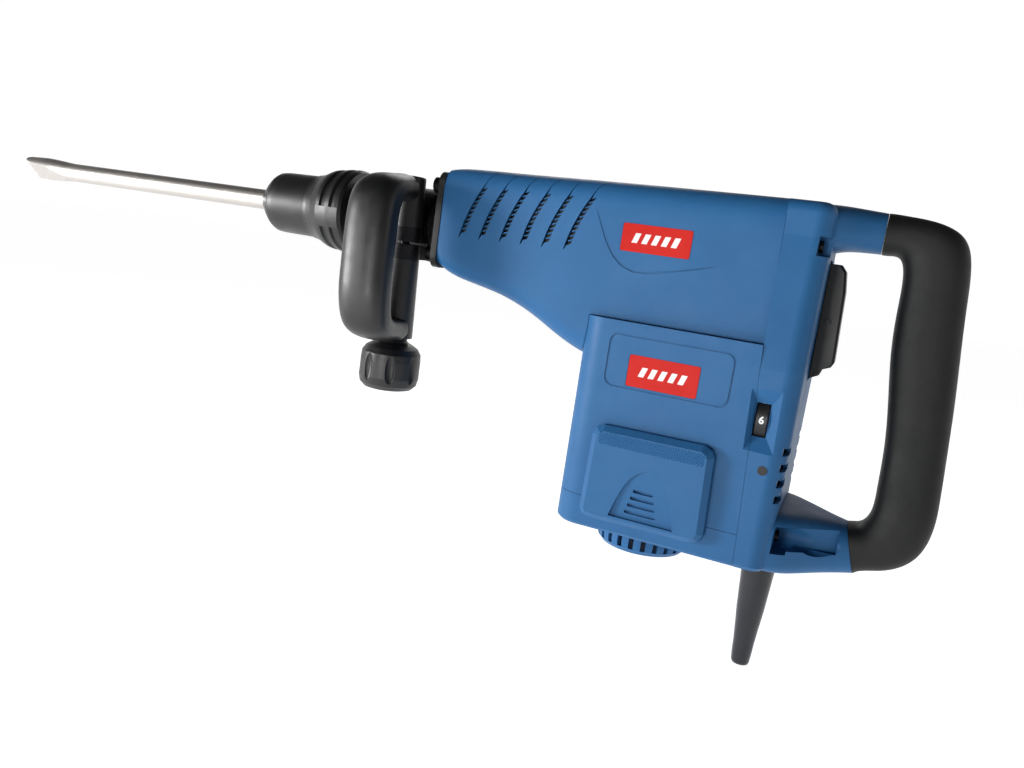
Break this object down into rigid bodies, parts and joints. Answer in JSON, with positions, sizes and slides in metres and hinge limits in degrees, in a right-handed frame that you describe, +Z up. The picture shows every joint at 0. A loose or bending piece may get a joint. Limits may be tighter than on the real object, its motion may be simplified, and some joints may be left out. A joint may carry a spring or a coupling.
{
  "type": "demolition hammer",
  "caption": "Electric demolition hammer with a flat chisel, swivelling side handle, vertical motor housing, closed rear grip, speed wheel and cord boot.",
  "frame": {"origin": "on the tool axis, at the front face of the nose where the chisel enters", "axes": "+X along the tool axis towards the rear grip (the chisel points to -X), +Z up, -Y is the side with the speed wheel"},
  "size_m": [0.9119, 0.1715, 0.3484],
  "materials": {
    "steel": "brushed",
    "blued_steel": "black oxide",
    "laminated_steel": "stacked sheets",
    "copper_winding": "enamelled wire",
    "carbon": "matt",
    "spring_brass": "satin",
    "cast_aluminium": "as cast",
    "black_casting": "satin black",
    "blue_plastic": "fine texture",
    "black_plastic": "fine texture",
    "soft_grip": "grained",
    "rubber": "satin",
    "lamp": "smoked lens",
    "red_plate": "printed plate"
  },
  "bodies": {
    "body": {"barrel": "black_casting", "flange_bolts": "blued_steel", "holder_bushing": "spring_brass", "cylinder": "steel", "piston": "steel", "wrist_pin": "steel", "connecting_rod": "steel", "crank_pin": "steel", "crank_bearing": "steel", "gear_case": "cast_aluminium", "upper_housing": "blue_plastic", "motor_housing": "blue_plastic", "motor_end_cover": "blue_plastic", "air_cap": "blue_plastic", "lower_bearing_plate": "cast_aluminium", "upper_bearing_plate": "cast_aluminium", "armature_bearings": "steel", "stator_core": "laminated_steel", "stator_coils": "copper_winding", "brush_holders": "spring_brass", "carbon_brushes": "carbon", "brush_springs": "spring_brass", "brush_cover_near": "blue_plastic", "brush_cover_far": "blue_plastic", "rear_housing_near": "blue_plastic", "rear_housing_far": "blue_plastic", "rear_grip": "soft_grip", "switch_module": "black_plastic", "electronics_module": "black_plastic", "service_led": "lamp", "cord_boot": "rubber", "cord_clamp": "black_plastic", "label_plates": "red_plate", "housing_screws": "blued_steel"},
    "holder": {"tool_holder": "steel", "lock_rollers": "steel", "dust_cap": "rubber", "setting_ring": "black_plastic", "sleeve_spring": "steel"},
    "sleeve": {"locking_sleeve": "black_plastic"},
    "chisel": {"chisel": "steel"},
    "striker": {"striker": "steel"},
    "ram": {"ram": "steel"},
    "crank": {"crank_gear": "steel", "crankshaft": "steel"},
    "armature": {"armature_shaft": "steel", "pinion": "steel", "armature_core": "laminated_steel", "armature_windings": "copper_winding", "commutator": "copper_winding", "cooling_fan": "black_plastic"},
    "side_handle": {"aux_handle": "black_plastic", "handle_band": "blued_steel", "clamp_bolt": "blued_steel", "clamp_nut": "blued_steel", "knob_washer": "blued_steel"},
    "knob": {"clamp_knob": "black_plastic"},
    "rocker": {"switch_rocker": "black_plastic"},
    "dial": {"speed_dial": "black_plastic"}
  },
  "joints": [
    {"name": "setting_ring_turn", "type": "hinge", "parent": "body", "child": "holder", "pos_m": [0.092, 0, 0], "axis": [1, 0, 0], "continuous": true},
    {"name": "sleeve_slide", "type": "slide", "parent": "holder", "child": "sleeve", "axis": [1, 0, 0], "range_m": [0, 0.011], "stiffness_N_per_m": 1500, "springref_m": -0.012, "deforming": ["sleeve_spring"]},
    {"name": "chisel_play", "type": "slide", "parent": "holder", "child": "chisel", "axis": [-1, 0, 0], "range_m": [0, 0.014]},
    {"name": "striker_slide", "type": "slide", "parent": "body", "child": "striker", "axis": [1, 0, 0], "range_m": [0, 0.008]},
    {"name": "ram_slide", "type": "slide", "parent": "body", "child": "ram", "axis": [1, 0, 0], "range_m": [-0.025, 0.018]},
    {"name": "armature_spin", "type": "hinge", "parent": "body", "child": "armature", "pos_m": [0.396, 0, -0.12], "axis": [0, 0, 1], "continuous": true},
    {"name": "crank_turn", "type": "hinge", "parent": "body", "child": "crank", "pos_m": [0.352, 0, -0.04], "axis": [0, 0, 1], "continuous": true},
    {"name": "side_handle_swivel", "type": "hinge", "parent": "body", "child": "side_handle", "pos_m": [0.17, 0, 0], "axis": [1, 0, 0], "continuous": true},
    {"name": "clamp_knob_turn", "type": "hinge", "parent": "side_handle", "child": "knob", "pos_m": [0.17, -0.0375, -0.12], "axis": [0, 0, 1], "continuous": true},
    {"name": "switch_rock", "type": "hinge", "parent": "body", "child": "rocker", "pos_m": [0.5015, 0, -0.03], "axis": [0, 1, 0], "range_deg": [0, 5]},
    {"name": "dial_turn", "type": "hinge", "parent": "body", "child": "dial", "pos_m": [0.4741, -0.0332, -0.1015], "axis": [1, 0, 0], "range_deg": [-270, 0]}
  ],
  "couplings": [
    {"joint": "crank_turn", "follows": "armature_spin", "ratio": -0.22222}
  ]
}
